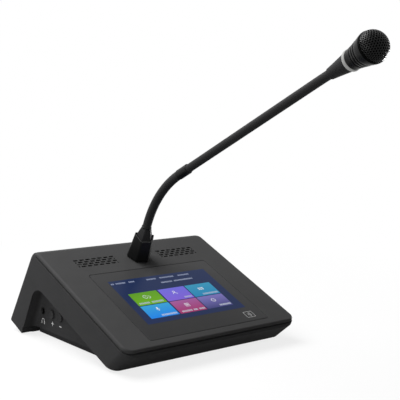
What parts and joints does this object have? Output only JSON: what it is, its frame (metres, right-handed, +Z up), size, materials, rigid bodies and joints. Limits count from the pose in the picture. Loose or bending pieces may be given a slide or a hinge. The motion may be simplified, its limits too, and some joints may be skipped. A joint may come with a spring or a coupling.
{
  "type": "conference delegate unit",
  "caption": "Tabletop delegate unit: tilted touch panel on a wedge housing, speaker slots, side volume keys and a gooseneck microphone.",
  "frame": {"origin": "on the table, under the middle of the whole unit, microphone included", "axes": "+Z up, +Y to the back away from the delegate, +X to the delegate's right"},
  "size_m": [0.189, 0.353, 0.2659],
  "materials": {
    "cover_plastic": "fine-textured anthracite moulding",
    "housing_plastic": "fine-textured anthracite moulding",
    "base_plastic": "black moulding",
    "black_plastic": "satin black",
    "sleeve_rubber": "matt black",
    "gooseneck_metal": "satin black, ribbed",
    "head_metal": "satin black coat",
    "mesh_metal": "black perforated sheet",
    "light_plastic": "translucent white",
    "touch_glass": "gloss, dark printed back",
    "display": "lit screen",
    "steel": "plain plated steel",
    "circuit_board": "green solder mask",
    "cloth": "black acoustic cloth",
    "foam": "black open-cell foam",
    "foot_rubber": "matt black",
    "ribbon": "amber film"
  },
  "bodies": {
    "base": {"lower_housing": "housing_plastic", "top_cover": "cover_plastic", "touch_glass": "touch_glass", "display_module": "display", "display_frame": "steel", "display_screw_1": "steel", "display_screw_2": "steel", "display_screw_3": "steel", "display_screw_4": "steel", "main_board": "circuit_board", "display_ribbon": "ribbon", "grille_cloth_left": "cloth", "speaker_left": "black_plastic", "grille_cloth_right": "cloth", "speaker_right": "black_plastic", "microphone_boot": "black_plastic", "microphone_collar": "black_plastic", "microphone_socket": "black_plastic", "neck_foot": "sleeve_rubber", "microphone_cable": "sleeve_rubber", "volume_up_switch": "steel", "volume_down_switch": "steel", "headphone_jack": "black_plastic", "side_board": "circuit_board", "network_socket_left": "steel", "network_socket_right": "steel", "network_board": "circuit_board", "base_plate": "base_plastic", "base_screw_1": "steel", "base_screw_2": "steel", "base_screw_3": "steel", "base_screw_4": "steel", "rubber_foot_1": "foot_rubber", "rubber_foot_2": "foot_rubber", "rubber_foot_3": "foot_rubber", "rubber_foot_4": "foot_rubber"},
    "volume_up": {"volume_up_button": "black_plastic"},
    "volume_down": {"volume_down_button": "black_plastic"},
    "neck_link_1": {"neck_sleeve_1": "sleeve_rubber"},
    "neck_link_2": {"neck_sleeve_2": "sleeve_rubber"},
    "neck_link_3": {"neck_sleeve_3": "sleeve_rubber"},
    "neck_link_4": {"neck_sleeve_4": "sleeve_rubber"},
    "neck_link_5": {"neck_sleeve_5": "sleeve_rubber"},
    "neck_link_6": {"neck_sleeve_6": "sleeve_rubber", "neck_ferrule": "black_plastic"},
    "tube_link_1": {"neck_tube_1": "gooseneck_metal"},
    "tube_link_2": {"neck_tube_2": "gooseneck_metal"},
    "tube_link_3": {"neck_tube_3": "gooseneck_metal"},
    "tube_link_4": {"neck_tube_4": "gooseneck_metal"},
    "microphone_head": {"neck_tube_5": "gooseneck_metal", "head_tail": "head_metal", "light_ring": "light_plastic", "light_board": "circuit_board", "head_barrel": "head_metal", "grille_rim": "black_plastic", "grille_dome": "mesh_metal", "windscreen_foam": "foam", "capsule_plate": "black_plastic", "capsule": "steel"}
  },
  "joints": [
    {"name": "neck_bend_1", "type": "hinge", "parent": "base", "child": "neck_link_1", "pos_m": [0, 0.08896, 0.10764], "axis": [1, 0, 0], "range_deg": [-12, 6], "deforming": ["microphone_cable"]},
    {"name": "neck_sway_1", "type": "hinge", "parent": "neck_link_1", "child": "neck_link_2", "pos_m": [0, 0.08356, 0.11733], "axis": [0, 0.81, 0.5864], "range_deg": [-11, 11], "deforming": ["microphone_cable"]},
    {"name": "neck_bend_2", "type": "hinge", "parent": "neck_link_2", "child": "neck_link_3", "pos_m": [0, 0.07705, 0.12632], "axis": [1, 0, 0], "range_deg": [-12, 6], "deforming": ["microphone_cable"]},
    {"name": "neck_bend_3", "type": "hinge", "parent": "neck_link_3", "child": "neck_link_4", "pos_m": [0, 0.06953, 0.13449], "axis": [1, 0, 0], "range_deg": [-12, 6], "deforming": ["microphone_cable"]},
    {"name": "neck_sway_2", "type": "hinge", "parent": "neck_link_4", "child": "neck_link_5", "pos_m": [0, 0.0611, 0.14171], "axis": [0, 0.557, 0.8305], "range_deg": [-11, 11], "deforming": ["microphone_cable"]},
    {"name": "neck_bend_4", "type": "hinge", "parent": "neck_link_5", "child": "neck_link_6", "pos_m": [0, 0.05188, 0.14789], "axis": [1, 0, 0], "range_deg": [-12, 6], "deforming": ["microphone_cable"]},
    {"name": "tube_bend_1", "type": "hinge", "parent": "neck_link_6", "child": "tube_link_1", "pos_m": [0, 0.03074, 0.15871], "axis": [1, 0, 0], "range_deg": [-10, 10], "deforming": ["microphone_cable"]},
    {"name": "tube_sway_1", "type": "hinge", "parent": "tube_link_1", "child": "tube_link_2", "pos_m": [0, -0.00576, 0.17739], "axis": [0, 0.4555, 0.8902], "range_deg": [-12, 12], "deforming": ["microphone_cable"]},
    {"name": "tube_bend_2", "type": "hinge", "parent": "tube_link_2", "child": "tube_link_3", "pos_m": [0, -0.04226, 0.19607], "axis": [1, 0, 0], "range_deg": [-10, 10], "deforming": ["microphone_cable"]},
    {"name": "tube_sway_2", "type": "hinge", "parent": "tube_link_3", "child": "tube_link_4", "pos_m": [0, -0.07876, 0.21474], "axis": [0, 0.4555, 0.8902], "range_deg": [-12, 12], "deforming": ["microphone_cable"]},
    {"name": "tube_bend_3", "type": "hinge", "parent": "tube_link_4", "child": "microphone_head", "pos_m": [0, -0.11525, 0.23342], "axis": [1, 0, 0], "range_deg": [-10, 10], "deforming": ["microphone_cable"]},
    {"name": "volume_up_press", "type": "slide", "parent": "base", "child": "volume_up", "axis": [1, 0, 0], "range_m": [0, 0.0008], "stiffness_N_per_m": 600, "springref_m": -0.0008},
    {"name": "volume_down_press", "type": "slide", "parent": "base", "child": "volume_down", "axis": [1, 0, 0], "range_m": [0, 0.0008], "stiffness_N_per_m": 600, "springref_m": -0.0008}
  ]
}
